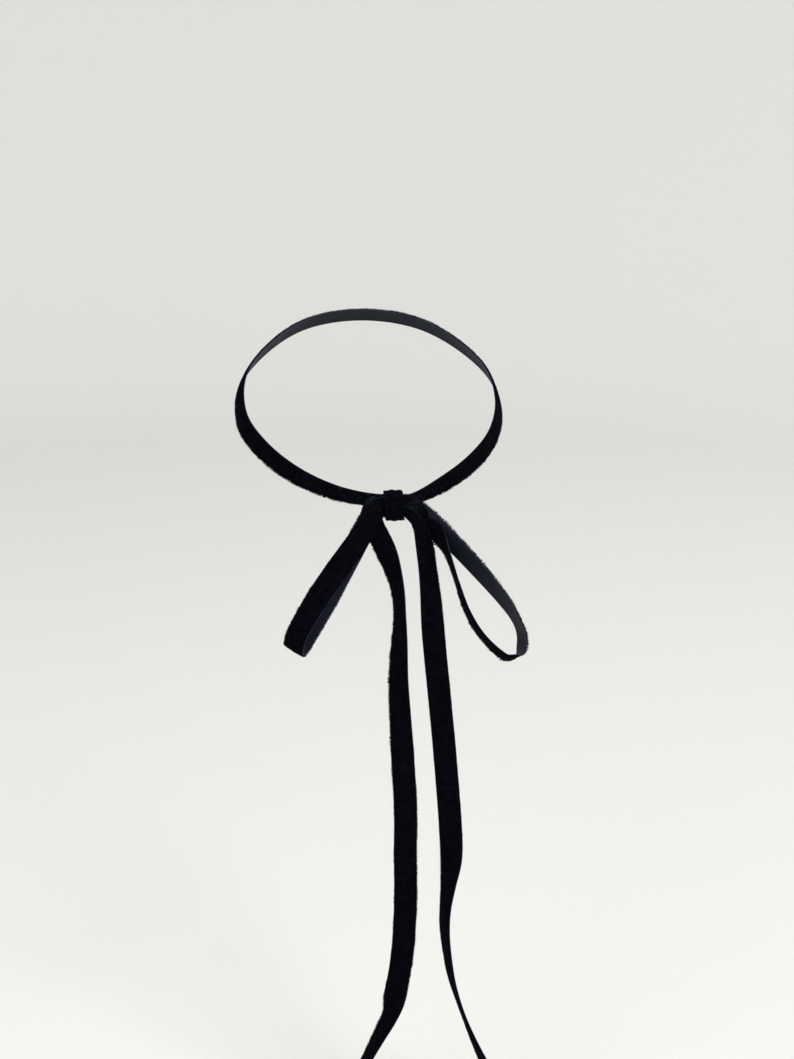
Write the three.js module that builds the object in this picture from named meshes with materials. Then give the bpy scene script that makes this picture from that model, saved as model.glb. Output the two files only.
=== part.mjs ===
// A velvet ribbon choker: one ribbon tied round the neck, with a bow and two long tails in front.
// Millimetres, +Z up, front towards -Y. The origin is the middle of the neck loop.
import * as THREE from "three";

// Driving sizes
const RIBBON_WIDTH = 10;
const RIBBON_THICK = 1.2; // woven ground and pile together
const GAP = 0.3; // left between pieces that touch
const LAYER = RIBBON_THICK + GAP; // from one ribbon of the bundle in the knot to the next
const EDGE_ROUND = 0.35; // how far the pile side is rounded off at both edges

// The neck loop leans: its front is this much lower than its back
const NECK_TILT = 33;
const BAND_STEPS = 88;
const STRAND_STEP = 2.4; // between sections of a bow loop or a tail
const WRAP_STEPS = 32;
const ARC_DIVISIONS = 1200; // of a curve, to measure its length by

// The knot, in the middle of the front
const KNOT = new THREE.Vector3(3.6, -51.9, -34.0);
const KNOT_WIDTH = 7.9;
const KNOT_SHARE = 0.92; // of the full width, that the ribbons keep in the knot
const WRAP_CORNER = 1.9; // radius of the wrap's corners, at the middle of its wall
const BUNDLE_LAYERS = 4;
const WRAP_SLACK = 0.15; // that the wrap has all round, over the gap
const WRAP_HALF_DEPTH = (BUNDLE_LAYERS * LAYER + GAP + RIBBON_THICK) / 2 + WRAP_SLACK;
const WRAP_HALF_HEIGHT = (KNOT_SHARE * RIBBON_WIDTH + RIBBON_THICK) / 2 + GAP + WRAP_SLACK;

// The ribbons' layers in the knot, in front of the neck loop's own. drop: how far a ribbon's middle is
// below the knot's. The right tail is drawn down and gathered to half its width.
const LAYER_BACK = { y: KNOT.y + 0.5 * LAYER, drop: 0, share: KNOT_SHARE };
const LAYER_MIDDLE = { y: KNOT.y - 0.5 * LAYER, drop: 0, share: KNOT_SHARE };
const LAYER_FRONT = { y: KNOT.y - 1.5 * LAYER, drop: 0, share: KNOT_SHARE };
const LAYER_GATHERED = { y: LAYER_FRONT.y, drop: 2, share: 0.48 };
const LEFT = -1;
const RIGHT = 1;

// The neck loop, in the plane of the loop. angle: round the neck from the front, positive to +X.
// radius and rise: middle of the ribbon, from the origin and above that plane. lean: how far the lower
// edge stands out from the neck. share: of the full width, less where the knot gathers the ribbon.
const NECK_LOOP = [
  { angle: -150, radius: 58.6, rise: 0.0, lean: 18, share: 1.0 },
  { angle: -110, radius: 58.5, rise: -0.5, lean: 20, share: 1.0 },
  { angle: -82, radius: 58.4, rise: -0.7, lean: 22, share: 1.0 },
  { angle: -60, radius: 57.0, rise: -0.1, lean: 18, share: 1.0 },
  { angle: -38, radius: 56.9, rise: 0.1, lean: 15, share: 0.89 },
  { angle: -20, radius: 57.9, rise: 0.0, lean: 19, share: 0.72 },
  { angle: -6, radius: 59.0, rise: 0.0, lean: 31, share: 0.58 },
  { angle: 3, radius: 59.3, rise: -0.1, lean: 33, share: 0.52 },
  { angle: 11, radius: 59.8, rise: -0.5, lean: 30, share: 0.5 },
  { angle: 26, radius: 57.4, rise: -0.1, lean: 20, share: 0.8 },
  { angle: 44, radius: 56.4, rise: 0.5, lean: 17, share: 0.98 },
  { angle: 64, radius: 56.6, rise: 0.4, lean: 20, share: 1.0 },
  { angle: 86, radius: 56.8, rise: 0.3, lean: 22, share: 1.0 },
  { angle: 112, radius: 57.2, rise: 0.0, lean: 20, share: 1.0 },
  { angle: 150, radius: 58.2, rise: 0.0, lean: 18, share: 1.0 },
  { angle: 180, radius: 58.6, rise: 0.0, lean: 18, share: 1.0 },
];

// The bow's strands and the tails, from the knot on. x, y, z: the middle of the ribbon. tilt: the way
// one edge lies from the other in the front view, from +X towards +Z. turn: how far that edge comes
// forwards, out of the front view. share: of the full width.
const LEFT_TAIL = [
  { x: -4.2, y: -51.3, z: -34.7, tilt: 128, turn: 0, share: 0.94 },
  { x: -5.9, y: -51.6, z: -38.0, tilt: 166, turn: 0, share: 0.9 },
  { x: -4.8, y: -52.4, z: -42.6, tilt: 194, turn: 0, share: 0.9 },
  { x: -1.4, y: -54.4, z: -49.8, tilt: 197, turn: -12, share: 0.93 },
  { x: 1.9, y: -58.0, z: -59.4, tilt: 195, turn: -46, share: 1 },
  { x: 3.9, y: -61.3, z: -69.0, tilt: 188, turn: -63, share: 1 },
  { x: 4.3, y: -64.2, z: -78.5, tilt: 181, turn: -68, share: 1 },
  { x: 3.8, y: -67.2, z: -88.0, tilt: 180, turn: -58, share: 1 },
  { x: 2.8, y: -72.2, z: -103.0, tilt: 180, turn: -42, share: 1 },
  { x: 3.1, y: -77.5, z: -119.5, tilt: 180, turn: -30, share: 1 },
  { x: 3.6, y: -82.6, z: -135.4, tilt: 180, turn: -12, share: 1 },
  { x: 4.0, y: -88.7, z: -154.5, tilt: 180, turn: -6, share: 1 },
  { x: 3.4, y: -93.3, z: -174.0, tilt: 180, turn: 0, share: 1 },
  { x: 3.2, y: -95.4, z: -195.0, tilt: 180, turn: 0, share: 1 },
  { x: 2.0, y: -95.7, z: -217.0, tilt: 178, turn: 0, share: 1 },
  { x: -0.4, y: -95.6, z: -234.0, tilt: 172, turn: -4, share: 1 },
  { x: -4.0, y: -95.5, z: -248.0, tilt: 164, turn: -64, share: 1 },
  { x: -8.7, y: -95.4, z: -257.8, tilt: 158, turn: -78, share: 1 },
  { x: -15.0, y: -95.2, z: -271.0, tilt: 154, turn: -88, share: 1 },
  { x: -18.6, y: -95.0, z: -279.0, tilt: 154, turn: -92, share: 1 },
];

const RIGHT_TAIL = [
  { x: 9.8, y: -54.8, z: -37.3, tilt: 68, turn: 0, share: 0.5 },
  { x: 12.3, y: -56.2, z: -39.7, tilt: 44, turn: 0, share: 0.52 },
  { x: 14.2, y: -57.8, z: -43.2, tilt: 25, turn: -4, share: 0.64 },
  { x: 15.5, y: -59.4, z: -48.6, tilt: 11, turn: -16, share: 0.8 },
  { x: 16.4, y: -60.4, z: -54.0, tilt: 6, turn: -26, share: 0.92 },
  { x: 17.1, y: -61.6, z: -60.4, tilt: 4, turn: -32, share: 1 },
  { x: 17.7, y: -64.6, z: -70.0, tilt: 2, turn: -22, share: 1 },
  { x: 18.2, y: -70.2, z: -87.6, tilt: 0, turn: 6, share: 1 },
  { x: 19.4, y: -76.4, z: -106.6, tilt: 0, turn: 4, share: 1 },
  { x: 20.6, y: -82.5, z: -125.6, tilt: 0, turn: 4, share: 1 },
  { x: 21.5, y: -88.6, z: -144.5, tilt: 0, turn: 4, share: 1 },
  { x: 22.2, y: -94.2, z: -163.6, tilt: 0, turn: 10, share: 1 },
  { x: 22.0, y: -96.4, z: -174.0, tilt: 2, turn: 28, share: 1 },
  { x: 20.6, y: -97.8, z: -184.0, tilt: 4, turn: 58, share: 1 },
  { x: 19.3, y: -98.4, z: -195.0, tilt: 3, turn: 73, share: 1 },
  { x: 19.0, y: -98.6, z: -206.0, tilt: 0, turn: 75, share: 1 },
  { x: 20.2, y: -98.6, z: -218.0, tilt: -6, turn: 77, share: 1 },
  { x: 22.4, y: -98.5, z: -231.0, tilt: -12, turn: 78, share: 1 },
  { x: 27.2, y: -98.4, z: -247.0, tilt: -18, turn: 80, share: 1 },
  { x: 34.0, y: -98.2, z: -265.5, tilt: -20, turn: 66, share: 1 },
  { x: 38.6, y: -98.0, z: -276.0, tilt: -20, turn: 52, share: 1 },
];

const LEFT_LOOP = [
  { x: -3.7, y: -54.6, z: -34.7, tilt: 116, turn: 0, share: 0.93 },
  { x: -6.0, y: -55.5, z: -37.5, tilt: 140, turn: 0, share: 0.94 },
  { x: -9.0, y: -57.2, z: -42.7, tilt: 145, turn: 0, share: 0.94 },
  { x: -16.0, y: -61.0, z: -51.4, tilt: 146, turn: -4, share: 1 },
  { x: -23.4, y: -65.0, z: -59.9, tilt: 147, turn: -14, share: 1 },
  { x: -30.2, y: -68.6, z: -68.2, tilt: 149, turn: -25, share: 1 },
  { x: -36.2, y: -71.4, z: -77.0, tilt: 151, turn: -33, share: 1 },
  { x: -39.4, y: -72.8, z: -82.4, tilt: 152, turn: -35, share: 1 },
  { x: -40.3, y: -73.1, z: -85.9, tilt: 153, turn: -35, share: 1 },
  { x: -40.5, y: -72.3, z: -88.5, tilt: 154, turn: -32, share: 1 },
  { x: -39.5, y: -70.4, z: -89.6, tilt: 154, turn: -30, share: 1 },
  { x: -37.4, y: -68.5, z: -88.4, tilt: 153, turn: -32, share: 1 },
  { x: -34.9, y: -67.0, z: -85.0, tilt: 152, turn: -35, share: 1 },
  { x: -30.6, y: -65.0, z: -78.6, tilt: 152, turn: -34, share: 1 },
  { x: -25.0, y: -61.6, z: -70.3, tilt: 150, turn: -30, share: 1 },
  { x: -19.6, y: -58.8, z: -60.8, tilt: 148, turn: -20, share: 1 },
  { x: -14.2, y: -56.2, z: -51.6, tilt: 146, turn: -6, share: 1 },
  { x: -9.2, y: -55.2, z: -42.7, tilt: 145, turn: 0, share: 0.97 },
  { x: -6.0, y: -53.8, z: -37.5, tilt: 140, turn: 0, share: 0.94 },
  { x: -3.7, y: -53.0, z: -34.7, tilt: 116, turn: 0, share: 0.93 },
];

const RIGHT_LOOP = [
  { x: 11.4, y: -51.8, z: -35.0, tilt: 74, turn: 2, share: 0.9 },
  { x: 15.6, y: -53.8, z: -37.8, tilt: 60, turn: 12, share: 0.92 },
  { x: 21.3, y: -57.0, z: -42.3, tilt: 52, turn: 32, share: 0.98 },
  { x: 28.2, y: -59.8, z: -49.2, tilt: 47, turn: 40, share: 1 },
  { x: 35.9, y: -62.7, z: -57.4, tilt: 42, turn: 44, share: 1 },
  { x: 43.6, y: -65.8, z: -66.4, tilt: 36, turn: 53, share: 1 },
  { x: 49.1, y: -68.1, z: -73.4, tilt: 30, turn: 61, share: 1 },
  { x: 52.7, y: -69.9, z: -79.2, tilt: 24, turn: 71, share: 1 },
  { x: 55.1, y: -71.6, z: -85.0, tilt: 14, turn: 75, share: 1 },
  { x: 55.4, y: -73.0, z: -90.4, tilt: 26, turn: 76, share: 1 },
  { x: 53.2, y: -74.0, z: -94.7, tilt: 78, turn: 61, share: 1 },
  { x: 48.6, y: -74.3, z: -95.6, tilt: 88, turn: 57, share: 1 },
  { x: 43.8, y: -73.6, z: -92.4, tilt: 70, turn: 65, share: 1 },
  { x: 36.8, y: -71.2, z: -84.8, tilt: 48, turn: 73, share: 1 },
  { x: 31.7, y: -68.2, z: -75.4, tilt: 34, turn: 80, share: 1 },
  { x: 27.9, y: -64.6, z: -63.4, tilt: 28, turn: 86, share: 1 },
  { x: 24.4, y: -60.8, z: -52.6, tilt: 36, turn: 78, share: 1 },
  { x: 20.2, y: -57.0, z: -44.6, tilt: 44, turn: 38, share: 0.92 },
  { x: 15.8, y: -54.8, z: -39.0, tilt: 54, turn: 12, share: 0.88 },
  { x: 11.4, y: -53.2, z: -35.0, tilt: 72, turn: 2, share: 0.9 },
];

const radians = THREE.MathUtils.degToRad;

// A ribbon's end in the middle of the knot, and the place beside the knot where it comes out.
function knotRows(side, layer) {
  const beside = KNOT_WIDTH / 2 + GAP;
  return [GAP / 2, beside].map((reach) => {
    const x = KNOT.x + side * reach;
    return { x, y: layer.y, z: KNOT.z - layer.drop, tilt: 90, turn: 0, share: layer.share };
  });
}

// One section of ribbon: its middle, the way its width lies and its share of the full width.
function strandSection(row) {
  const tilt = radians(row.tilt);
  const turn = radians(row.turn);
  const across = new THREE.Vector3(
    Math.cos(tilt) * Math.cos(turn),
    -Math.sin(turn),
    Math.sin(tilt) * Math.cos(turn),
  );
  return { middle: new THREE.Vector3(row.x, row.y, row.z), across, share: row.share };
}

// A section of the neck loop. Across runs from its lower edge to its upper one.
function neckSection(row) {
  const angle = radians(row.angle);
  const lean = radians(row.lean);
  const out = new THREE.Vector3(Math.sin(angle), -Math.cos(angle), 0);
  const middle = out.clone().multiplyScalar(row.radius).setZ(row.rise);
  const across = out.multiplyScalar(-Math.sin(lean)).setZ(Math.cos(lean));
  const forwards = new THREE.Vector3(1, 0, 0);
  middle.applyAxisAngle(forwards, radians(NECK_TILT));
  across.applyAxisAngle(forwards, radians(NECK_TILT));
  return { middle, across, share: row.share };
}

// The wrap goes round the bundle in a rounded rectangle, front down first, with its width along X.
function wrapSections() {
  const straightDepth = WRAP_HALF_DEPTH - WRAP_CORNER;
  const straightHeight = WRAP_HALF_HEIGHT - WRAP_CORNER;
  const sections = [];
  for (let i = 0; i < WRAP_STEPS; i++) {
    const angle = ((i + 0.5) / WRAP_STEPS) * 2 * Math.PI;
    const cos = Math.cos(angle);
    const sin = Math.sin(angle);
    const middle = new THREE.Vector3(
      KNOT.x,
      KNOT.y - Math.sign(cos) * straightDepth - cos * WRAP_CORNER,
      KNOT.z - Math.sign(sin) * straightHeight - sin * WRAP_CORNER,
    );
    const share = KNOT_WIDTH / RIBBON_WIDTH;
    sections.push({ middle, across: new THREE.Vector3(1, 0, 0), share });
  }
  return sections;
}

// Sections at even steps on smooth curves through the given ones.
function smoothed(sections, closed, count) {
  const blend = (vectors) => new THREE.CatmullRomCurve3(vectors, closed, "catmullrom");
  const middles = new THREE.CatmullRomCurve3(
    sections.map((s) => s.middle),
    closed,
    "centripetal",
  );
  middles.arcLengthDivisions = ARC_DIVISIONS;
  const widths = blend(sections.map((s) => s.across));
  const shares = blend(sections.map((s) => new THREE.Vector3(s.share, 0, 0)));
  const last = closed ? count : count - 1;
  const made = [];
  for (let i = 0; i < count; i++) {
    const t = middles.getUtoTmapping(i / last);
    const along = middles.getTangent(t);
    const across = widths.getPoint(t).projectOnPlane(along).normalize();
    made.push({ middle: middles.getPoint(t), along, across, share: shares.getPoint(t).x });
  }
  return { sections: made, length: middles.getLength() };
}

// A closed solid swept through the sections. Its back is flat, and its pile side, which pile = 1 or -1
// picks, is rounded off at both edges.
function ribbonMesh(name, sections, { closed = false, pile = 1 } = {}) {
  const points = [];
  const half = RIBBON_THICK / 2;
  for (const s of sections) {
    const up = new THREE.Vector3().crossVectors(s.along, s.across).multiplyScalar(pile);
    const edge = (RIBBON_WIDTH / 2) * s.share;
    const outline = [
      [-edge, -half],
      [edge, -half],
      [edge, half - EDGE_ROUND],
      [edge - EDGE_ROUND, half],
      [EDGE_ROUND - edge, half],
      [-edge, half - EDGE_ROUND],
    ];
    for (const [a, b] of outline) {
      points.push(s.middle.clone().addScaledVector(s.across, a).addScaledVector(up, b));
    }
  }
  const sides = points.length / sections.length;
  const faces = [];
  const addFace = (a, b, c) => faces.push(...(pile > 0 ? [a, b, c] : [a, c, b]));
  const rings = closed ? sections.length : sections.length - 1;
  for (let i = 0; i < rings; i++) {
    for (let j = 0; j < sides; j++) {
      const a = i * sides + j;
      const b = i * sides + ((j + 1) % sides);
      const c = ((i + 1) % sections.length) * sides + j;
      const d = ((i + 1) % sections.length) * sides + ((j + 1) % sides);
      addFace(a, b, d);
      addFace(a, d, c);
    }
  }
  if (!closed) {
    const end = (sections.length - 1) * sides;
    for (let j = 1; j < sides - 1; j++) {
      addFace(0, j + 1, j);
      addFace(end, end + j, end + j + 1);
    }
  }
  const geometry = new THREE.BufferGeometry().setFromPoints(points);
  geometry.setIndex(faces);
  geometry.computeVertexNormals();
  const velvet = new THREE.MeshStandardMaterial({ color: 0x0a0b14, roughness: 0.9, metalness: 0 });
  const mesh = new THREE.Mesh(geometry, velvet);
  mesh.name = name;
  return mesh;
}

// A bow loop or a tail. It leaves the knot in the first layer, and a loop comes back in the second.
function strand(name, side, layers, rows, pile) {
  const [leaves, comesBack] = layers.map((layer) => knotRows(side, layer));
  const allRows = [...leaves, ...rows, ...(comesBack ?? []).toReversed()];
  const sections = allRows.map(strandSection);
  const length = smoothed(sections, false, 2).length;
  const count = Math.round(length / STRAND_STEP) + 1;
  return ribbonMesh(name, smoothed(sections, false, count).sections, { pile });
}

function neckBand() {
  const { sections } = smoothed(NECK_LOOP.map(neckSection), true, BAND_STEPS);
  return ribbonMesh("neck_band", sections, { closed: true, pile: 1 });
}

function bowKnot() {
  const sections = wrapSections();
  sections.forEach((s, i) => {
    const before = sections.at(i - 1).middle;
    const after = sections[(i + 1) % sections.length].middle;
    s.along = after.clone().sub(before).normalize();
  });
  return ribbonMesh("bow_knot", sections, { closed: true, pile: 1 });
}

const choker = new THREE.Group();
choker.add(neckBand());
choker.add(bowKnot());
choker.add(strand("bow_loop_left", LEFT, [LAYER_FRONT, LAYER_MIDDLE], LEFT_LOOP, -1));
choker.add(strand("bow_loop_right", RIGHT, [LAYER_BACK, LAYER_MIDDLE], RIGHT_LOOP, -1));
choker.add(strand("tail_left", LEFT, [LAYER_BACK], LEFT_TAIL, -1));
choker.add(strand("tail_right", RIGHT, [LAYER_GATHERED], RIGHT_TAIL, 1));

export default choker;
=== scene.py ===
# %% [markdown]
# # A velvet ribbon choker, tied in a bow
#
# The real thing is one narrow length of cut-pile velvet ribbon. A satin ground is woven first, with a
# firm selvedge along both edges, and thousands of short nylon tufts stand on its face. The ribbon goes
# round the neck, and is tied in front in a bow with two loops and two long tails.
#
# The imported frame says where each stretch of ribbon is. Here each stretch becomes two pieces, the woven
# ground and the pile on it, because they are made of different things and catch the light differently.

# %% Load the frame
import math
from types import SimpleNamespace

import bpy
import numpy as np
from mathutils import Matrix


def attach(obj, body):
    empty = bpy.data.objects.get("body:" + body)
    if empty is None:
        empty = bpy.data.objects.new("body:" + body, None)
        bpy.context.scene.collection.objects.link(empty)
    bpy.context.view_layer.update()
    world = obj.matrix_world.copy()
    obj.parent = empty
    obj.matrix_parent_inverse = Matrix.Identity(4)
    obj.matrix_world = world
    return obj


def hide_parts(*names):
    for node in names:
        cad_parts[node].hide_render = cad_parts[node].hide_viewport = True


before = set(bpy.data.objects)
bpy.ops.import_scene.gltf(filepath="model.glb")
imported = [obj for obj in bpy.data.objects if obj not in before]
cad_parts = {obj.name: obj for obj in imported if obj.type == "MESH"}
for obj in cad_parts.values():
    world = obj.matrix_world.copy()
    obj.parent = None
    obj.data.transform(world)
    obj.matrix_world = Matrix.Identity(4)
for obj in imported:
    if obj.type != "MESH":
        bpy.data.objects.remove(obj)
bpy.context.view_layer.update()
MM = 0.001  # every size below is in millimetres, and a Blender metre is 1000 of them
print("nodes:", sorted(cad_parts))

# %% [markdown]
# ## The camera
#
# A necklace is looked at from in front and a little above, about two thirds of a metre away. An empty
# could be tracked by the camera, but two points are enough: the view direction turned into a rotation.
# The lens is a normal one, so the bow isn't drawn larger than the neck loop behind it.

# %% Set up the camera
from mathutils import Vector

CAMERA_AIM = Vector((5.8, -45.0, -46.5)) * MM
CAMERA_DISTANCE = 635 * MM
CAMERA_AZIMUTH = math.radians(-7)
CAMERA_ELEVATION = math.radians(16)
LENS = 51  # on a 36 mm sensor

level = math.cos(CAMERA_ELEVATION)
towards_camera = Vector(
    (math.sin(CAMERA_AZIMUTH) * level, -math.cos(CAMERA_AZIMUTH) * level, math.sin(CAMERA_ELEVATION))
)
camera = bpy.data.objects.new("camera", bpy.data.cameras.new("camera"))
camera.data.lens = LENS
camera.location = CAMERA_AIM + towards_camera * CAMERA_DISTANCE
camera.rotation_euler = (-towards_camera).to_track_quat("-Z", "Y").to_euler()
bpy.context.scene.collection.objects.link(camera)
bpy.context.scene.camera = camera
print("camera at", [round(value, 4) for value in camera.location])

# %% [markdown]
# ## The ribbon's route
#
# A ribbon isn't a cord: besides where its middle runs, each row has to say which way its width lies.
# So a row is a place, a tilt (the way one edge lies from the other in the front view), a turn (how far
# that edge comes forwards) and a share of the full width, for where the knot gathers it.
# These are the same rows as the frame's own solids were made from, so the looks land where they are.
# They began as measurements of the real bow's outline, with depths that are assumed, and were then
# adjusted until the built outline came close to it.

# %% Sizes of the ribbon and the knot
RIBBON_WIDTH = 10.0
RIBBON_THICK = 1.2  # ground and pile together
GAP = 0.3  # between neighbouring layers
LAYER = RIBBON_THICK + GAP
NECK_TILT = 33  # degrees that the neck loop slopes down towards the front
KNOT = np.array([3.6, -51.9, -34.0])  # its middle
KNOT_WIDTH = 7.9
KNOT_SHARE = 0.92  # of the ribbon's width, for the layers gathered inside the knot
KNOT_LAYERS = 4
# layers in the knot, all in front of the neck loop's own: y, drop below the knot's middle, share
BACK_LAYER = (KNOT[1] + 0.5 * LAYER, 0.0, KNOT_SHARE)
MIDDLE_LAYER = (KNOT[1] - 0.5 * LAYER, 0.0, KNOT_SHARE)
FRONT_LAYER = (KNOT[1] - 1.5 * LAYER, 0.0, KNOT_SHARE)
GATHERED_LAYER = (KNOT[1] - 1.5 * LAYER, 2.0, 0.48)
print(f"{KNOT_LAYERS} layers in the knot, {LAYER} mm apart")

# %% The neck loop's rows
# angle round the neck, radius, rise, lean, share
NECK_LOOP = [
    (-150, 58.6, 0.0, 18, 1.0),
    (-110, 58.5, -0.5, 20, 1.0),
    (-82, 58.4, -0.7, 22, 1.0),
    (-60, 57.0, -0.1, 18, 1.0),
    (-38, 56.9, 0.1, 15, 0.89),
    (-20, 57.9, 0.0, 19, 0.72),
    (-6, 59.0, 0.0, 31, 0.58),
    (3, 59.3, -0.1, 33, 0.52),
    (11, 59.8, -0.5, 30, 0.5),
    (26, 57.4, -0.1, 20, 0.8),
    (44, 56.4, 0.5, 17, 0.98),
    (64, 56.6, 0.4, 20, 1.0),
    (86, 56.8, 0.3, 22, 1.0),
    (112, 57.2, 0.0, 20, 1.0),
    (150, 58.2, 0.0, 18, 1.0),
    (180, 58.6, 0.0, 18, 1.0),
]
print("the neck loop's rows:", len(NECK_LOOP))

# %% The tails' rows
# x, y, z, tilt, turn, share
LEFT_TAIL = [
    (-4.2, -51.3, -34.7, 128, 0, 0.94),
    (-5.9, -51.6, -38.0, 166, 0, 0.9),
    (-4.8, -52.4, -42.6, 194, 0, 0.9),
    (-1.4, -54.4, -49.8, 197, -12, 0.93),
    (1.9, -58.0, -59.4, 195, -46, 1),
    (3.9, -61.3, -69.0, 188, -63, 1),
    (4.3, -64.2, -78.5, 181, -68, 1),
    (3.8, -67.2, -88.0, 180, -58, 1),
    (2.8, -72.2, -103.0, 180, -42, 1),
    (3.1, -77.5, -119.5, 180, -30, 1),
    (3.6, -82.6, -135.4, 180, -12, 1),
    (4.0, -88.7, -154.5, 180, -6, 1),
    (3.4, -93.3, -174.0, 180, 0, 1),
    (3.2, -95.4, -195.0, 180, 0, 1),
    (2.0, -95.7, -217.0, 178, 0, 1),
    (-0.4, -95.6, -234.0, 172, -4, 1),
    (-4.0, -95.5, -248.0, 164, -64, 1),
    (-8.7, -95.4, -257.8, 158, -78, 1),
    (-15.0, -95.2, -271.0, 154, -88, 1),
    (-18.6, -95.0, -279.0, 154, -92, 1),
]
RIGHT_TAIL = [
    (9.8, -54.8, -37.3, 68, 0, 0.5),
    (12.3, -56.2, -39.7, 44, 0, 0.52),
    (14.2, -57.8, -43.2, 25, -4, 0.64),
    (15.5, -59.4, -48.6, 11, -16, 0.8),
    (16.4, -60.4, -54.0, 6, -26, 0.92),
    (17.1, -61.6, -60.4, 4, -32, 1),
    (17.7, -64.6, -70.0, 2, -22, 1),
    (18.2, -70.2, -87.6, 0, 6, 1),
    (19.4, -76.4, -106.6, 0, 4, 1),
    (20.6, -82.5, -125.6, 0, 4, 1),
    (21.5, -88.6, -144.5, 0, 4, 1),
    (22.2, -94.2, -163.6, 0, 10, 1),
    (22.0, -96.4, -174.0, 2, 28, 1),
    (20.6, -97.8, -184.0, 4, 58, 1),
    (19.3, -98.4, -195.0, 3, 73, 1),
    (19.0, -98.6, -206.0, 0, 75, 1),
    (20.2, -98.6, -218.0, -6, 77, 1),
    (22.4, -98.5, -231.0, -12, 78, 1),
    (27.2, -98.4, -247.0, -18, 80, 1),
    (34.0, -98.2, -265.5, -20, 66, 1),
    (38.6, -98.0, -276.0, -20, 52, 1),
]
for name, rows in (("left", LEFT_TAIL), ("right", RIGHT_TAIL)):
    print(f"the {name} tail's rows: {len(rows)}, down to {-rows[-1][2]} mm below the neck loop's middle")

# %% The bow loops' rows
# x, y, z, tilt, turn, share
LEFT_LOOP = [
    (-3.7, -54.6, -34.7, 116, 0, 0.93),
    (-6.0, -55.5, -37.5, 140, 0, 0.94),
    (-9.0, -57.2, -42.7, 145, 0, 0.94),
    (-16.0, -61.0, -51.4, 146, -4, 1),
    (-23.4, -65.0, -59.9, 147, -14, 1),
    (-30.2, -68.6, -68.2, 149, -25, 1),
    (-36.2, -71.4, -77.0, 151, -33, 1),
    (-39.4, -72.8, -82.4, 152, -35, 1),
    (-40.3, -73.1, -85.9, 153, -35, 1),
    (-40.5, -72.3, -88.5, 154, -32, 1),
    (-39.5, -70.4, -89.6, 154, -30, 1),
    (-37.4, -68.5, -88.4, 153, -32, 1),
    (-34.9, -67.0, -85.0, 152, -35, 1),
    (-30.6, -65.0, -78.6, 152, -34, 1),
    (-25.0, -61.6, -70.3, 150, -30, 1),
    (-19.6, -58.8, -60.8, 148, -20, 1),
    (-14.2, -56.2, -51.6, 146, -6, 1),
    (-9.2, -55.2, -42.7, 145, 0, 0.97),
    (-6.0, -53.8, -37.5, 140, 0, 0.94),
    (-3.7, -53.0, -34.7, 116, 0, 0.93),
]
RIGHT_LOOP = [
    (11.4, -51.8, -35.0, 74, 2, 0.9),
    (15.6, -53.8, -37.8, 60, 12, 0.92),
    (21.3, -57.0, -42.3, 52, 32, 0.98),
    (28.2, -59.8, -49.2, 47, 40, 1),
    (35.9, -62.7, -57.4, 42, 44, 1),
    (43.6, -65.8, -66.4, 36, 53, 1),
    (49.1, -68.1, -73.4, 30, 61, 1),
    (52.7, -69.9, -79.2, 24, 71, 1),
    (55.1, -71.6, -85.0, 14, 75, 1),
    (55.4, -73.0, -90.4, 26, 76, 1),
    (53.2, -74.0, -94.7, 78, 61, 1),
    (48.6, -74.3, -95.6, 88, 57, 1),
    (43.8, -73.6, -92.4, 70, 65, 1),
    (36.8, -71.2, -84.8, 48, 73, 1),
    (31.7, -68.2, -75.4, 34, 80, 1),
    (27.9, -64.6, -63.4, 28, 86, 1),
    (24.4, -60.8, -52.6, 36, 78, 1),
    (20.2, -57.0, -44.6, 44, 38, 0.92),
    (15.8, -54.8, -39.0, 54, 12, 0.88),
    (11.4, -53.2, -35.0, 72, 2, 0.9),
]
for name, rows in (("left", LEFT_LOOP), ("right", RIGHT_LOOP)):
    print(f"the {name} loop's rows: {len(rows)}, down to {-min(row[2] for row in rows)} mm")

# %% [markdown]
# ## A smooth route through the rows
#
# A spline object could carry the ribbon, but its own twist is hard to steer. A Catmull-Rom curve goes
# through every row, so the rows stay true, and numpy works out all its points at once. The centripetal
# kind, where a long span gets more of the curve than a short one, makes no kinks at the tight folds.

# %% Route functions
def catmull(rows, t, closed, power):
    """A curve through the rows, at t from 0 to 1. Each span is a cubic whose tangents lean on the rows
    before and after it; each distance between rows counts to the given power, and 0 makes spans even."""
    spans = len(rows) if closed else len(rows) - 1
    place = np.clip(t * spans, 0, spans - 1e-9)
    first = place.astype(int)
    w = (place - first)[:, None]
    if closed:
        rows = np.concatenate([rows[-1:], rows, rows[:2]])
    else:
        rows = np.concatenate([2 * rows[:1] - rows[1:2], rows, 2 * rows[-1:] - rows[-2:-1]])
    a, b, c, d = (rows[first + k] for k in range(4))
    ab, bc, cd = (
        np.linalg.norm(q - p, axis=1, keepdims=True) ** power for p, q in ((a, b), (b, c), (c, d))
    )
    leave = ((b - a) / ab - (c - a) / (ab + bc) + (c - b) / bc) * bc
    arrive = ((c - b) / bc - (d - b) / (bc + cd) + (d - c) / cd) * bc
    square = 3 * (c - b) - 2 * leave - arrive
    cube = 2 * (b - c) + leave + arrive
    return b + leave * w + square * w**2 + cube * w**3


def unit(vectors):
    """The vectors, each divided by its own length."""
    return vectors / np.linalg.norm(vectors, axis=-1, keepdims=True)


FINE_POINTS = 6001  # along a route, to measure its length by
NUDGE = 1e-4  # of a route, to either side of a place, to find its direction by


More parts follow.
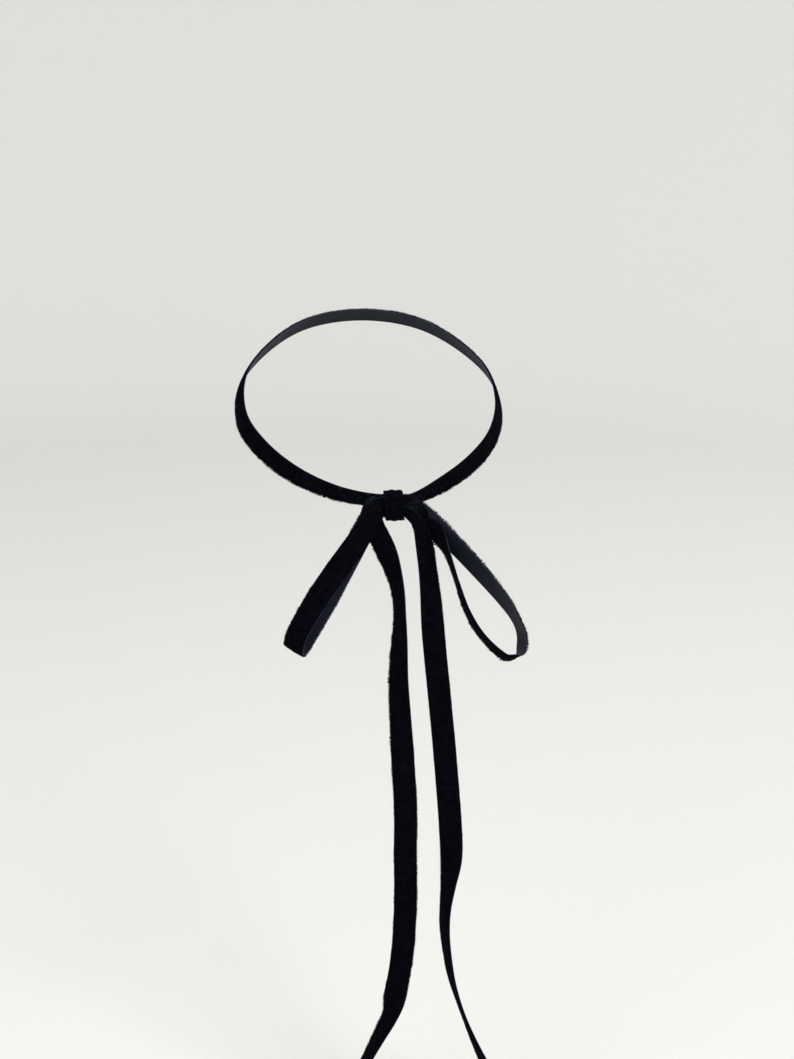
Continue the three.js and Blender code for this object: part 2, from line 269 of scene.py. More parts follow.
def ribbon_path(middles, widths, shares, closed, pile_side, step):
    """Sections an even step apart. along is the route's direction, across the width's, made square to
    it, and up their cross product, towards the pile. bend is how fast along and across turn, per mm,
    with the first counted half."""
    fine = np.linspace(0, 1, FINE_POINTS)
    points = catmull(middles, fine, closed, 0.5)
    travelled = np.concatenate([[0], np.cumsum(np.linalg.norm(np.diff(points, axis=0), axis=1))])
    length = travelled[-1]
    count = round(length / step)
    s = np.arange(count if closed else count + 1) * length / count
    t = np.interp(s, travelled, fine)
    middle = catmull(middles, t, closed, 0.5)
    ahead = catmull(middles, (t + NUDGE) % 1 if closed else np.minimum(t + NUDGE, 1), closed, 0.5)
    behind = catmull(middles, (t - NUDGE) % 1 if closed else np.maximum(t - NUDGE, 0), closed, 0.5)
    along = unit(ahead - behind)
    across = catmull(widths, t, closed, 0)
    across = unit(across - along * (across * along).sum(1, keepdims=True))
    share = catmull(shares[:, None], t, closed, 0)[:, 0]
    along_turns, across_turns = (
        np.linalg.norm(np.gradient(way, axis=0), axis=1) for way in (along, across)
    )
    bend = (along_turns / 2 + across_turns) * count / length
    return SimpleNamespace(
        s=s, length=length, closed=closed, middle=middle, along=along, across=across,
        up=np.cross(along, across) * pile_side, share=share, half=RIBBON_WIDTH / 2 * share,
        bend=bend,
    )


def strand_path(side, layers, rows, pile_side, step):
    """A bow loop or a tail. It starts inside the knot in its first layer, beside the others, and a loop
    comes back in the second."""
    reaches = (GAP / 2, KNOT_WIDTH / 2 + GAP)
    ends = [
        [(KNOT[0] + side * reach, y, KNOT[2] - drop, 90, 0, share) for reach in reaches]
        for y, drop, share in layers
    ]
    rows = np.array(ends[0] + rows + (ends[1][::-1] if len(ends) > 1 else []), float)
    tilt, turn = np.radians(rows[:, 3]), np.radians(rows[:, 4])
    widths = np.stack([np.cos(tilt) * np.cos(turn), -np.sin(turn), np.sin(tilt) * np.cos(turn)], axis=1)
    return ribbon_path(rows[:, :3], widths, rows[:, 5], False, pile_side, step)


def neck_path(step):
    """The loop round the neck: a circle of changing radius and rise, with its width leaning outwards at
    its lower edge, all turned by the neck's own tilt about X."""
    angle, radius, rise, lean, share = np.array(NECK_LOOP, float).T
    angle, lean, tilt = np.radians(angle), np.radians(lean), math.radians(NECK_TILT)
    out = np.stack([np.sin(angle), -np.cos(angle), 0 * angle], axis=1)
    middle = out * radius[:, None] + np.outer(rise, [0, 0, 1])
    width = -out * np.sin(lean)[:, None] + np.outer(np.cos(lean), [0, 0, 1])
    turned = np.array([
        [1, 0, 0],
        [0, math.cos(tilt), math.sin(tilt)],
        [0, -math.sin(tilt), math.cos(tilt)],
    ])
    return ribbon_path(middle @ turned, width @ turned, share, True, 1, step)


WRAP_ROWS = 72
WRAP_POWER = 6
WRAP_SLACK = 0.15  # round the bundle
WRAP_SLANT = 0.25  # sideways, from the middle to the top of the knot


def wrap_path(step):
    """The knot's wrap: a rounded rectangle round the bundle, its faces bulging a little, as the power
    curve |y|^n + |z|^n = 1 gives with n = WRAP_POWER."""
    half_depth = (KNOT_LAYERS * LAYER + GAP + RIBBON_THICK) / 2 + WRAP_SLACK
    half_height = (KNOT_SHARE * RIBBON_WIDTH + RIBBON_THICK) / 2 + GAP + WRAP_SLACK
    angle = (np.arange(WRAP_ROWS) + 0.5) / WRAP_ROWS * 2 * np.pi
    y = -np.sign(np.cos(angle)) * np.abs(np.cos(angle)) ** (2 / WRAP_POWER)
    z = -np.sign(np.sin(angle)) * np.abs(np.sin(angle)) ** (2 / WRAP_POWER)
    middles = np.stack([-WRAP_SLANT * z, y * half_depth, z * half_height], axis=1) + KNOT
    widths = np.tile([1.0, 0.0, 0.0], (WRAP_ROWS, 1))
    shares = np.full(WRAP_ROWS, KNOT_WIDTH / RIBBON_WIDTH)
    return ribbon_path(middles, widths, shares, True, 1, step)


def all_paths(step):
    """Every stretch of ribbon by its node's name, with a section each step."""
    return {
        "neck_band": neck_path(step),
        "bow_knot": wrap_path(step),
        "bow_loop_left": strand_path(-1, (FRONT_LAYER, MIDDLE_LAYER), LEFT_LOOP, -1, step),
        "bow_loop_right": strand_path(1, (BACK_LAYER, MIDDLE_LAYER), RIGHT_LOOP, -1, step),
        "tail_left": strand_path(-1, (BACK_LAYER,), LEFT_TAIL, -1, step),
        "tail_right": strand_path(1, (GATHERED_LAYER,), RIGHT_TAIL, 1, step),
    }


SECTION_STEP = 0.45
paths = all_paths(SECTION_STEP)
for name, path in paths.items():
    print(f"{name}: {path.length:.1f} mm long, {len(path.s)} sections")

# %% [markdown]
# ## Unevenness
#
# Cloth is never even: its pile is brushed this way and that, and where it is gathered it pleats. Smooth
# value noise gives the first: random heights on a lattice, blended between its points. A cosine across
# the width gives the second, deeper where the row's share of the width is smaller.

# %% Unevenness functions
LATTICE_WIDTH = 64  # cells across, far more than a ribbon's width needs


def mottle(s, a, length, size, seed):
    """Noise from -1 to 1 over the ribbon: random values at lattice points `size` apart, blended with a
    smooth step. The lattice closes on itself after the ribbon's length."""
    cells = max(4, round(length / size))
    table = np.random.default_rng(seed).uniform(-1, 1, (cells, LATTICE_WIDTH))
    x, y = s / length * cells, a / size + LATTICE_WIDTH // 2
    i, j = np.floor(x).astype(int), np.floor(y).astype(int)
    u, v = x - i, y - j
    u, v = u * u * (3 - 2 * u), v * v * (3 - 2 * v)
    corner = [[table[(i + p) % cells, (j + q) % LATTICE_WIDTH] for q in (0, 1)] for p in (0, 1)]
    near, far = (pair[0] * (1 - v) + pair[1] * v for pair in corner)
    return near * (1 - u) + far * u


PLEATS = 2  # across the width
PLEAT_PHASE = 0.6  # radians, so that they don't sit evenly about the middle
PLEAT_DEPTH = 0.8  # times the share of the width that the gathers take up
PLEAT_DEEPEST = 0.24
CAMBER = 0.12  # that the middle of a free ribbon stands proud of its edges


def drape(share, across_share):
    """How far the cloth stands out at a place across the width, from -1 to 1: the camber's parabola,
    and pleats whose depth grows with the width that the gathers take up."""
    depth = np.clip(PLEAT_DEPTH * (1 - share), 0, PLEAT_DEEPEST)
    pleats = np.cos(np.pi * PLEATS * across_share + PLEAT_PHASE) * depth
    return pleats - CAMBER * across_share**2


print("a free ribbon's edge stands", drape(1.0, 1.0), "mm from its middle")

# %% [markdown]
# ## From arrays to a mesh
#
# Each piece is a profile carried along a path. Two UV maps go with it: `ribbon` in real millimetres,
# along and across, for the weave to follow, and `OFBake`, the same ribbon cut into rows that fill a
# square, so that a texture baked from it wastes no room.

# %% Mesh functions
ROW_MARGIN = 0.04  # of a row's height, left empty above and below it


def folded(s, place, length, rows, low, high):
    """Corner places in the square: the ribbon's length is cut into rows, one above the other, between
    the heights low and high. A face keeps to the row that its own middle is in."""
    row = np.clip(np.floor(s.mean(1, keepdims=True) / length * rows), 0, rows - 1)
    u = s / length * rows - row
    v = low + (high - low) * (row + ROW_MARGIN + (1 - 2 * ROW_MARGIN) * place) / rows
    return np.stack([u, v], axis=-1).reshape(-1, 2)


def build_piece(name, points, polygons, maps, crush, materials):
    """One object: points in mm, polygons as index arrays of one width each, UV maps as corner lists,
    and `crush`, a number at each point for the material."""
    mesh = bpy.data.meshes.new(name)
    corners = np.concatenate([p.ravel() for p in polygons])
    widths = np.concatenate([np.full(len(p), p.shape[1]) for p in polygons])
    mesh.vertices.add(len(points))
    mesh.loops.add(len(corners))
    mesh.polygons.add(len(widths))
    mesh.vertices.foreach_set("co", (points * MM).astype(np.float32).ravel())
    mesh.loops.foreach_set("vertex_index", corners.astype(np.int32))
    mesh.polygons.foreach_set("loop_start", (np.cumsum(widths) - widths).astype(np.int32))
    mesh.update(calc_edges=True)
    for label, values in maps.items():
        mesh.uv_layers.new(name=label).data.foreach_set("uv", values.astype(np.float32).ravel())
    mesh.attributes.new("crush", "FLOAT", "POINT").data.foreach_set("value", crush.astype(np.float32))
    mesh.shade_smooth()
    for material in materials:
        mesh.materials.append(material)
    piece = bpy.data.objects.new(name, mesh)
    bpy.context.scene.collection.objects.link(piece)
    return piece


# %% [markdown]
# ## A slab along a path
#
# The ground and the pile's body are both flat below and rounded off above at their edges. A curve object
# with a bevel profile could make that, but where the knot gathers the ribbon its radius would make the
# profile thinner as well as narrower, so the points are worked out and joined here.

# %% Slab functions
EDGE_CROWDING = 1.3  # radians of a sine at the edge: more crowds the columns closer there


def slab(path, columns, half, low, high, edge_power):
    """A closed profile carried along the path. Its underside is flat at low, and its top is at high in
    the middle and rounds down to low at both edges, as (1 - |a|^power)^(1/3) does. half, low and high
    are a number, or one for each section."""
    u = np.linspace(-1, 1, columns)
    wide = np.sin(EDGE_CROWDING * u) / math.sin(EDGE_CROWDING)
    top = (1 - np.abs(wide) ** edge_power) ** (1 / 3)
    share_across = np.concatenate([wide, wide[-2:0:-1]])
    lift = np.concatenate([top, 0 * wide[-2:0:-1]])
    aside = np.outer(half, share_across)
    above = low + (high - low) * lift[None, :] + drape(path.share[:, None], share_across[None, :])
    around = np.arange(len(share_across)) / len(share_across)
    return aside, above, lift, around


def sweep(path, aside, above):
    """Each point is the section's middle, plus its across by aside, plus its up by above."""
    across, up = path.across[:, None], path.up[:, None]
    return path.middle[:, None] + across * aside[..., None] + up * above[..., None]


def tube(path, aside, around, low, high, rows):
    """The quads between neighbouring sections, wound outwards, the end faces of an open ribbon, and
    both UV maps."""
    sections, count = aside.shape
    i = np.arange(sections if path.closed else sections - 1)[:, None]
    j = np.arange(count)[None, :]
    after, beside = (i + 1) % sections, (j + 1) % count
    quads = np.stack(
        [i * count + j, i * count + beside, after * count + beside, after * count + j], axis=-1
    )
    step = path.length / (sections if path.closed else sections - 1)
    s = np.stack(np.broadcast_arrays(i, i, i + 1, i + 1), axis=-1) * step
    s = np.broadcast_to(s, quads.shape).reshape(-1, 4)
    place = np.stack([around, around + 1 / count, around + 1 / count, around], axis=-1)
    place = np.broadcast_to(place, quads.shape).reshape(-1, 4)
    quads = quads.reshape(-1, 4)
    across = aside.ravel()[quads]
    maps = {
        "ribbon": np.stack([s, across], axis=-1).reshape(-1, 2),
        "OFBake": folded(s, place, path.length, rows, low, high),
    }
    polygons = [quads]
    if not path.closed:
        start = np.arange(count)[None, ::-1]
        polygons += [start, (sections - 1) * count + start[:, ::-1]]
        for cap, end in zip(polygons[1:], (0, path.length)):
            turn = 2 * np.pi * around[cap % count]
            s_cap = np.abs(end - 0.5 * np.sin(turn) ** 2)  # so that the end face has some room in the maps
            place_cap = 0.5 + 0.5 * np.cos(turn)
            ribbon_cap = np.stack([s_cap, aside.ravel()[cap]], -1)[0]
            maps["ribbon"] = np.concatenate([maps["ribbon"], ribbon_cap])
            maps["OFBake"] = np.concatenate(
                [maps["OFBake"], folded(s_cap, place_cap, path.length, rows, low, high)]
            )
    return polygons, maps


def turned_out(points, polygons, maps):
    """Turns a closed surface's faces round if its volume comes out negative: the sum over its triangles
    of a corner's dot product with the cross product of the other two."""
    quads = polygons[0]
    a, b, c, d = (points[quads[:, k]] - points.mean(0) for k in range(4))
    volume = (a * np.cross(b, c)).sum() + (a * np.cross(c, d)).sum()
    if volume < 0:
        widths = np.concatenate([np.full(len(p), p.shape[1]) for p in polygons])
        ends = np.cumsum(widths)
        order = np.repeat(2 * ends - widths - 1, widths) - np.arange(ends[-1])
        maps = {label: values[order] for label, values in maps.items()}
        polygons = [p[:, ::-1] for p in polygons]
    return polygons, maps

# %% [markdown]
# ## Colours and nodes
#
# Colours are written as sRGB hex, as a paint chart has them, and Blender's sockets want linear light.

# %% Colours
def colour(code):
    """An sRGB hex value as linear red, green, blue and alpha."""
    parts = [int(code[k : k + 2], 16) / 255 for k in (1, 3, 5)]
    linear = [part / 12.92 if part <= 0.04045 else ((part + 0.055) / 1.055) ** 2.4 for part in parts]
    return (*linear, 1.0)


print("middle grey #808080 in linear light:", round(colour("#808080")[0], 3))

# %% Node helpers
def add_node(material, kind, settings=(), **links):
    """Adds a node, sets its properties and sockets, and links sockets to other nodes' outputs. A
    settings key that is a number or that the node has as a socket sets that socket."""
    node = material.node_tree.nodes.new(kind)
    for key, value in dict(settings).items():
        if isinstance(key, int) or key in node.inputs:
            node.inputs[key].default_value = value
        else:
            setattr(node, key, value)
    for key, output in links.items():
        socket = int(key[1:]) if key[0] == "_" and key[1:].isdigit() else key.replace("_", " ")
        material.node_tree.links.new(output, node.inputs[socket])
    return node


def new_material(name, **surface):
    """A material with one Principled shader, whose sockets are set by name."""
    material = bpy.data.materials.new(name)
    material.use_nodes = True
    shader = material.node_tree.nodes["Principled BSDF"]
    for key, value in surface.items():
        shader.inputs[key.replace("_", " ")].default_value = value
    return material, shader


def link(material, output, socket):
    """Joins one node's output to a socket."""
    material.node_tree.links.new(output, socket)

# %% [markdown]
# ## The pile: black nylon velvet
#
# Velvet is dark where you look down into the standing pile, because light is caught between the tufts,
# and it lights up at a grazing angle, where you see their sides. The shader's sheen is made for that.
# Where the pile is crushed it lies over, and small specks of it are painted a greyer, cooler tone: painted
# sheen, the light that laid-over pile catches.

# %% Velvet material
BRUSHED = 2.0  # mm across a brushed patch
SPECK = 2 / 3  # mm across a speck of painted sheen, drawn coarser than real tufts are so that it shows


def velvet():
    """Near-black navy, mottled by the brushing, with lighter specks of painted sheen where the pile is laid
    over, growing with `crush`.
    """
    material, shader = new_material(
        "black_nylon_cut_pile", Roughness=0.9, Specular_IOR_Level=0.04,
        Sheen_Weight=0.035, Sheen_Roughness=0.3, Sheen_Tint=colour("#98a4c8"),
    )
    place = add_node(material, "ShaderNodeTexCoord").outputs["Object"]
    brushed = add_node(
        material, "ShaderNodeTexNoise", {"Scale": 1 / (BRUSHED * MM), "Detail": 2.0}, Vector=place
    )
    tone = add_node(material, "ShaderNodeValToRGB", Fac=brushed.outputs["Fac"])
    tone.color_ramp.elements[0].position = 0.35
    tone.color_ramp.elements[0].color = colour("#010104")
    tone.color_ramp.elements[1].position = 0.7
    tone.color_ramp.elements[1].color = colour("#06060f")
    crush = add_node(material, "ShaderNodeAttribute", {"attribute_name": "crush"}).outputs["Fac"]
    tufts = add_node(
        material, "ShaderNodeTexNoise", {"Scale": 1 / (SPECK * MM), "Detail": 3.0}, Vector=place
    )
    laid = add_node(
        material, "ShaderNodeMath", {"operation": "MULTIPLY_ADD", 1: 0.3},
        _0=crush, _2=tufts.outputs["Fac"],
    )
    # painted sheen: specks where laid-over pile catches the light are painted a greyer teal
    sheen_speck = add_node(
        material, "ShaderNodeMapRange", {"From Min": 0.66, "From Max": 0.86},
        Value=laid.outputs["Value"],
    )
    mixed = add_node(
        material, "ShaderNodeMix", {"data_type": "RGBA", 7: colour("#1e2a33")},
        _0=sheen_speck.outputs["Result"], _6=tone.outputs["Color"],
    )
    link(material, mixed.outputs[2], shader.inputs["Base Color"])
    return material


velvet_pile = velvet()
print("material:", velvet_pile.name)

# %% [markdown]
# ## The ground: a satin back and its selvedges
#
# The back of a velvet ribbon is a plain satin: long floats that lie side by side and shine a little,
# dark slate rather than black. Both edges are woven tighter, as a selvedge, and that band is painted a
# touch lighter, a painted highlight for the line of light that its edges catch.

# %% Satin material
THREAD = 0.5  # mm between weft ribs, drawn coarser than real ones so that they show
SELVEDGE = 0.55  # mm wide, at each edge
SELVEDGE_BLEND = 0.2  # mm over which its tone comes in


def satin():
    """Dark slate satin. A band wave across the ribbon's length gives the weft ribs, and the distance
    from the ribbon's middle picks the selvedge, painted lighter as a painted highlight."""
    material, shader = new_material("dark_slate_satin_weave", Roughness=0.58, Specular_IOR_Level=0.07)
    ribbon = add_node(material, "ShaderNodeUVMap", {"uv_map": "ribbon"}).outputs["UV"]
    parts = add_node(material, "ShaderNodeSeparateXYZ", Vector=ribbon)
    turns = add_node(
        material, "ShaderNodeMath", {"operation": "MULTIPLY", 1: 2 * math.pi / THREAD},
        _0=parts.outputs["X"],
    )
    ribs = add_node(material, "ShaderNodeMath", {"operation": "SINE"}, _0=turns.outputs["Value"])
    floats = add_node(material, "ShaderNodeTexNoise", {"Scale": 1.2, "Detail": 4.0}, Vector=ribbon)
    tone = add_node(material, "ShaderNodeValToRGB", Fac=floats.outputs["Fac"])
    tone.color_ramp.elements[0].position = 0.3
    tone.color_ramp.elements[0].color = colour("#12151c")
    tone.color_ramp.elements[1].position = 0.75
    tone.color_ramp.elements[1].color = colour("#1d222c")
    aside = add_node(material, "ShaderNodeMath", {"operation": "ABSOLUTE"}, _0=parts.outputs["Y"])
    inner = RIBBON_WIDTH / 2 - SELVEDGE
    edge = add_node(
        material, "ShaderNodeMapRange", {"From Min": inner, "From Max": inner + SELVEDGE_BLEND},
        Value=aside.outputs["Value"],
    )
    # painted highlight: the selvedge band is painted lighter, for the line of light along the ribbon's
    # edges
    mixed = add_node(
        material, "ShaderNodeMix", {"data_type": "RGBA", 7: colour("#333956")},
        _0=edge.outputs["Result"], _6=tone.outputs["Color"],
    )
    link(material, mixed.outputs[2], shader.inputs["Base Color"])
    height = add_node(
        material, "ShaderNodeMath", {"operation": "MULTIPLY_ADD", 1: 0.3},
        _0=ribs.outputs["Value"], _2=floats.outputs["Fac"],
    )
    bump = add_node(
        material, "ShaderNodeBump", {"Strength": 0.35, "Distance": 0.06 * MM},
        Height=height.outputs["Value"],
    )
    link(material, bump.outputs["Normal"], shader.inputs["Normal"])
    return material


satin_ground = satin()
print("material:", satin_ground.name)

# %% [markdown]
# ## Weaving the ground
#
# The ground is a thin strip at the back of the ribbon's thickness, rounded off along both edges. A plane
# with a Solidify modifier could make it, but the same kind of slab as the pile's keeps the two together.

# %% Woven ground
GROUND_THICK = 0.32
GROUND_LOW = -RIBBON_THICK / 2
GROUND_COLUMNS = 15
GROUND_SHARE = 0.96  # of the ribbon's width; the edge tufts reach past it
GROUND_EDGE_POWER = 24
PATCH = 9.0  # mm along a patch of crushed pile
PATCH_BARE = 0.25  # of the noise, below which the pile still stands
CRUSH_BY_GATHERS = 1.1
CRUSH_BY_BENDS = 1.2
CRUSH_BY_PATCHES = 0.5
# how the cloth is held, how much its pile has been crushed, and how far its edge tufts stick out
HELD = {
    "neck_band": ("stretched", 1.0, 0.95),
    "bow_knot": ("gathered", 0.4, 0.7),
    "bow_loop_left": ("folded", 0.5, 0.8),
    "bow_loop_right": ("folded", 1.0, 1.35),
    "tail_left": ("hung", 1.0, 1.0),
    "tail_right": ("hung", 0.25, 0.65),
}


def crush_at(name, path, s, a):
    """How far the pile is laid over, from 0 to 1: a weighted sum of the gathers, of bends and twists,
    and of patches, times how much this stretch was crushed. The name's length seeds the patches."""
    _, crushed, _ = HELD[name]
    patches = np.clip(mottle(s, a, path.length, PATCH, len(name)) - PATCH_BARE, 0, 1)
    gathers = 1 - np.interp(s, path.s, path.share)
    bends = np.interp(s, path.s, path.bend)
    laid = CRUSH_BY_GATHERS * gathers + CRUSH_BY_BENDS * bends + CRUSH_BY_PATCHES * patches
    return np.clip(laid * crushed, 0, 1)


def map_rows(path):
    """How many rows the ribbon is cut into to fill a square map: the root of its length over twice its
    width."""
    return max(1, round(math.sqrt(path.length / (2 * RIBBON_WIDTH))))


def woven_ground(name, path):
    """A slab between the ribbon's back and the foot of its pile, over GROUND_SHARE of the width."""
    aside, above, _, around = slab(
        path, GROUND_COLUMNS, path.half * GROUND_SHARE,
        GROUND_LOW, GROUND_LOW + GROUND_THICK, GROUND_EDGE_POWER,
    )
    points = sweep(path, aside, above).reshape(-1, 3)
    polygons, maps = tube(path, aside, around, 0.0, 1.0, map_rows(path))
    polygons, maps = turned_out(points, polygons, maps)
    crush = np.zeros(len(points))
    return build_piece(f"{name}_ground", points, polygons, maps, crush, [satin_ground])


grounds = {name: woven_ground(name, path) for name, path in paths.items()}
print("ground faces:", {name: len(piece.data.polygons) for name, piece in grounds.items()})

# %% [markdown]
# ## Standing the pile
#
# Real pile is far too many fibres to make one by one. Particle hair could grow it, but the finished
# meshes have to hold it, so it is built in two parts: a soft body that fills most of the pile's height,
# and small spikes on it, each a tuft, with just four faces, whose tips make the surface and its edges
# rough. Tall tufts stand in rows, one to each pick of the weave. More are scattered about the rows at
# both edges, where they splay outwards.

# %% Pile sizes
PILE_LOW = GROUND_LOW + GROUND_THICK - 0.06  # a little way into the ground
PILE_TOP = 0.24  # of the body, under the tufts' tips
PILE_COLUMNS = 17
PILE_EDGE_POWER = 10
EDGE_BARE = 0.42  # at each edge, that only tufts reach into
PICK = 1.2  # between rows of tufts, drawn coarser than real picks so that they show
ROW_TUFTS = 34  # to a row, across the width
EDGE_TUFTS = 9  # more to a row, at each edge
LOOSE_PER_MM2 = 4.5  # short tufts between the rows
ROOT_DEPTH = 0.12  # of a tuft's foot below the top of the body
TALL_LENGTH = 0.5
TALL_RADIUS = 0.27
EDGE_RADIUS = 0.22
LOOSE_LENGTH = 0.32
LOOSE_RADIUS = 0.16
ROW_JITTER = 0.13  # along the ribbon, of a tall tuft about its row
EDGE_JITTER = 0.3  # the same, of an edge tuft
OUTERMOST = 0.97  # of the half width, for the feet of edge and loose tufts
END_MARGIN = 0.2  # that tufts keep from a cut end
print("tufts in a row, with both edges:", ROW_TUFTS + 2 * EDGE_TUFTS)

# %% Tufts
def brushing(s, a, length, seed):
    """The body's small hills and hollows, in mm."""
    return 0.05 * mottle(s, a, length, 1.9, seed) + 0.03 * mottle(s, a, length, 0.8, seed + 1)


def at_places(path, s):
    """The path's middle, along, across, up and share at any distances along it."""
    period = path.length if path.closed else None
    columns = np.concatenate([path.middle, path.along, path.across, path.up, path.share[:, None]], axis=1)
    found = np.stack([np.interp(s, path.s, column, period=period) for column in columns.T], axis=1)
    return found[:, :3], unit(found[:, 3:6]), unit(found[:, 6:9]), unit(found[:, 9:12]), found[:, 12]


def spikes(path, s, a_share, above, lean, splay, length, radius, spin):
    """Four-cornered tufts. The root is on the cloth at (s, a_share); the tip is a length away along
    up + along * lean + across * splay; three root corners stand round it at the radius."""
    middle, along, across, up, share = at_places(path, s)
    half = RIBBON_WIDTH / 2 * share - EDGE_BARE
    root = middle + across * (half * a_share)[:, None] + up * (above + drape(share, a_share))[:, None]
    towards = unit(up + along * lean[:, None] + across * splay[:, None])
    first = unit(np.cross(towards, along))
    second = np.cross(towards, first)
    angle = spin[:, None] + np.arange(3) * 2 * np.pi / 3
    ring = first[:, None] * np.cos(angle)[..., None] + second[:, None] * np.sin(angle)[..., None]
    corners = root[:, None] + ring * radius[:, None, None]
    tip = root + towards * length[:, None]
    points = np.concatenate([corners, tip[:, None]], axis=1)
    base = np.arange(len(s))[:, None] * 4
    faces = np.concatenate([base + np.array(face) for face in ((2, 1, 0), (0, 1, 3), (1, 2, 3), (2, 0, 3))])
    return points.reshape(-1, 3), faces


def tuft_fields(path, fringe, seed):
    """Where the tufts stand and how they lean, as one column of numbers for each property. The tall
    ones stand in rows, one row to each pick. The edge ones splay outwards, longer in some places than
    in others. The short loose ones fill the gaps, anywhere."""
    draw = np.random.default_rng(seed)
    picks = int(path.length / PICK)
    pick_s = (np.arange(picks) + 0.5) * path.length / picks

    def group(s, a, foot, lean, splay, length, radius):
        count = len(s)
        return {
            "s": s % path.length if path.closed else np.clip(s, END_MARGIN, path.length - END_MARGIN),
            "a_share": a,
            "above": foot + brushing(s, a * RIBBON_WIDTH / 2, path.length, seed),
            "lean": draw.normal(lean, 0.2, count),
            "splay": splay,
            "length": length * draw.uniform(0.8, 1.15, count),
            "radius": radius * draw.uniform(0.8, 1.2, count),
            "spin": draw.uniform(0, 2 * np.pi, count),
        }

    s = np.repeat(pick_s, ROW_TUFTS) + draw.normal(0, ROW_JITTER, picks * ROW_TUFTS)
    a = np.tile(np.linspace(-1, 1, ROW_TUFTS), picks) + draw.uniform(-0.03, 0.03, picks * ROW_TUFTS)
    foot = PILE_TOP - ROOT_DEPTH - 0.3 * np.abs(a) ** PILE_EDGE_POWER
    tall = group(s, a, foot, 0.2, 0.7 * np.sign(a) * a**8, TALL_LENGTH, TALL_RADIUS)
    side = np.tile(np.repeat([-1.0, 1.0], EDGE_TUFTS), picks)
    s = np.repeat(pick_s, 2 * EDGE_TUFTS) + draw.normal(0, EDGE_JITTER, len(side))
    reach = fringe * (0.75 + 0.3 * mottle(s, 4 * side, path.length, 2.5, seed + 3))
    splay = side * draw.uniform(1.2, 3.0, len(side))
    foot = draw.uniform(-0.3, 0.1, len(side))
    edge = group(s, OUTERMOST * side, foot, 0.1, splay, reach, EDGE_RADIUS)
    count = int(path.length * RIBBON_WIDTH * LOOSE_PER_MM2)
    s, a = draw.uniform(0, path.length, count), draw.uniform(-OUTERMOST, OUTERMOST, count)
    foot = PILE_TOP - ROOT_DEPTH - 0.25 * np.abs(a) ** PILE_EDGE_POWER
    loose = group(s, a, foot, 0.4, draw.normal(0, 0.3, count), LOOSE_LENGTH, LOOSE_RADIUS)
    return {key: np.concatenate([tall[key], edge[key], loose[key]]) for key in tall}


print("tufts on the knot:", len(tuft_fields(paths["bow_knot"], HELD["bow_knot"][2], 0)["s"]))

# %% The pile
TUFT_ROOM = 0.15  # round a tuft's foot, that its faces take up in the maps
MAP_WIDTH = RIBBON_WIDTH + 0.4  # that the square map has room for across the ribbon


def pile(name, path, seed):
    """The body and its tufts in one mesh. In the square map the body has the lower half."""
    _, _, fringe = HELD[name]
    half = path.half - EDGE_BARE
    aside, above, lift, around = slab(path, PILE_COLUMNS, half, PILE_LOW, PILE_TOP, PILE_EDGE_POWER)
    above += brushing(path.s[:, None], aside, path.length, seed) * lift
    rows = map_rows(path)
    body = sweep(path, aside, above).reshape(-1, 3)
    polygons, maps = tube(path, aside, around, 0.0, 0.5, rows)
    polygons, maps = turned_out(body, polygons, maps)
    crush = crush_at(name, path, np.broadcast_to(path.s[:, None], aside.shape), aside).ravel()
    fields = tuft_fields(path, fringe, seed)
    points, faces = spikes(path, **fields)
    s, a = fields["s"], fields["a_share"] * RIBBON_WIDTH / 2
    tuft_crush = crush_at(name, path, s, a)
    around_spike = fields["spin"][:, None] + np.arange(4) * 2 * np.pi / 3
    reach = np.array([1, 1, 1, 0]) * TUFT_ROOM
    corner_s = np.clip(s[:, None] + reach * np.cos(around_spike), 0, path.length).ravel()[faces]
    corner_a = (a[:, None] + reach * np.sin(around_spike)).ravel()[faces]
    place = np.clip(0.5 + corner_a / MAP_WIDTH, 0, 1)
    maps["ribbon"] = np.concatenate([maps["ribbon"], np.stack([corner_s, corner_a], -1).reshape(-1, 2)])
    maps["OFBake"] = np.concatenate([maps["OFBake"], folded(corner_s, place, path.length, rows, 0.5, 1.0)])
    return build_piece(
        f"{name}_pile", np.concatenate([body, points]), polygons + [faces + len(body)], maps,
        np.concatenate([crush, np.repeat(tuft_crush, 4)]), [velvet_pile],
    )


piles = {name: pile(name, path, 11 * k + 5) for k, (name, path) in enumerate(paths.items())}
print("pile faces:", {name: len(piece.data.polygons) for name, piece in piles.items()})

# %% [markdown]
# ## Attaching the cloth
#
# On the real bow every stretch is part of one long strip of even width. The object has no moving part,
# so every piece, ground and pile, rides on the root, and the frame's own solid for the stretch is hidden.

for name, path in paths.items():
    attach(grounds[name], "root")
    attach(piles[name], "root")
    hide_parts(name)
    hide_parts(name)
    print(f"{name}: a sheet {RIBBON_WIDTH:.0f} x {path.length:.1f} mm, {HELD[name][0]}")

# %% [markdown]
# ## The studio
#
# A pale bowl stands in for the roll of paper under and behind a small object: a flat floor that curves
# up all round, so no edge shows from any side. Soft light falls through its open top and from two large
# lamps in front: the strong one is up to the right, and the weak one is lower, to the left.

# %% Floor and light
FLOOR_Z = -300.0
INNER_RADIUS = 600.0
FLAT_RADIUS = 1300.0
WALL_RADIUS = 2300.0
WALL_HEIGHT = 1500.0
BOWL_RINGS = 24  # up the curve
BOWL_SIDES = 96


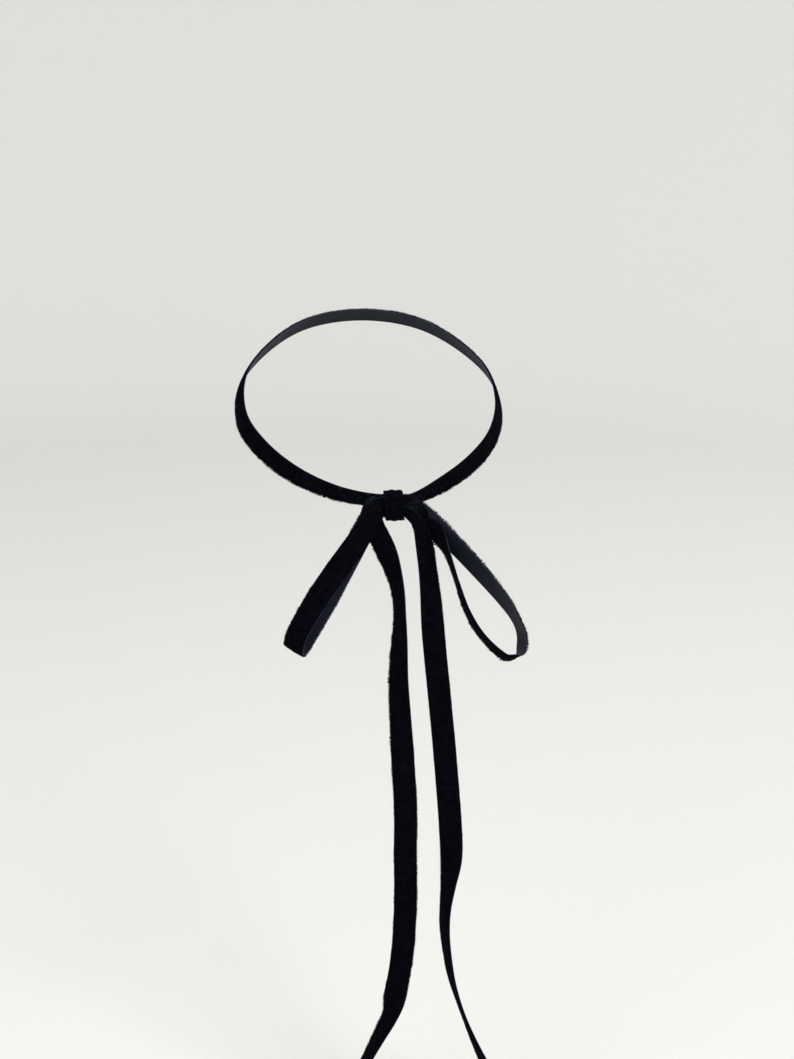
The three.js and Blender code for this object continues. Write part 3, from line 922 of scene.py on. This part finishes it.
def studio_bowl():
    """A surface of revolution: flat out to one radius, then a quarter of an ellipse up to the wall."""
    rise = np.linspace(0, np.pi / 2, BOWL_RINGS)
    radius = np.concatenate([[0.0, INNER_RADIUS], FLAT_RADIUS + (WALL_RADIUS - FLAT_RADIUS) * np.sin(rise)])
    height = np.concatenate([[0.0, 0.0], WALL_HEIGHT * (1 - np.cos(rise))]) + FLOOR_Z
    turn = np.arange(BOWL_SIDES) / BOWL_SIDES * 2 * np.pi
    points = np.stack(
        [np.outer(radius, np.cos(turn)), np.outer(radius, np.sin(turn)), np.outer(height, turn * 0 + 1)],
        axis=-1,
    )
    inner, j = np.arange(len(radius) - 1)[:, None] * BOWL_SIDES, np.arange(BOWL_SIDES)[None, :]
    outer, beside = inner + BOWL_SIDES, (j + 1) % BOWL_SIDES
    quads = np.stack([inner + j, outer + j, outer + beside, inner + beside], -1)
    mesh = bpy.data.meshes.new("studio_bowl")
    mesh.from_pydata((points.reshape(-1, 3) * MM).tolist(), [], quads.reshape(-1, 4).tolist())
    mesh.shade_smooth()
    bowl = bpy.data.objects.new("studio_bowl", mesh)
    bpy.context.scene.collection.objects.link(bowl)
    return bowl


def soft_lamp(name, place, aim, size, power, tint):
    """A square area lamp at a place in mm, turned towards another. It lights but isn't seen itself."""
    data = bpy.data.lights.new(name, "AREA")
    data.size = size * MM
    data.energy = power
    data.color = colour(tint)[:3]
    lamp = bpy.data.objects.new(name, data)
    lamp.location = Vector(place) * MM
    lamp.rotation_euler = (Vector(aim) - Vector(place)).to_track_quat("-Z", "Y").to_euler()
    lamp.visible_camera = False
    bpy.context.scene.collection.objects.link(lamp)
    return lamp


paper, _ = new_material("pale_matt_paper", Base_Color=colour("#e4e4e1"), Roughness=0.95)
floor = studio_bowl()
floor.data.materials.append(paper)
lamps = [
    soft_lamp("key_lamp", (1100, -1300, 1500), (0, -60, -100), 1100, 34, "#fffaf2"),
    soft_lamp("fill_lamp", (-780, -684, 492), (0, -60, -120), 780, 3.6, "#f2f6ff"),
]
world = bpy.data.worlds.new("soft_sky")
world.use_nodes = True
world.node_tree.nodes["Background"].inputs["Color"].default_value = colour("#f4f6fa")
world.node_tree.nodes["Background"].inputs["Strength"].default_value = 0.76
bpy.context.scene.world = world
bpy.context.scene.view_settings.view_transform = "Standard"
print("lamps:", {lamp.name: f"{lamp.data.energy:.1f} W" for lamp in lamps})
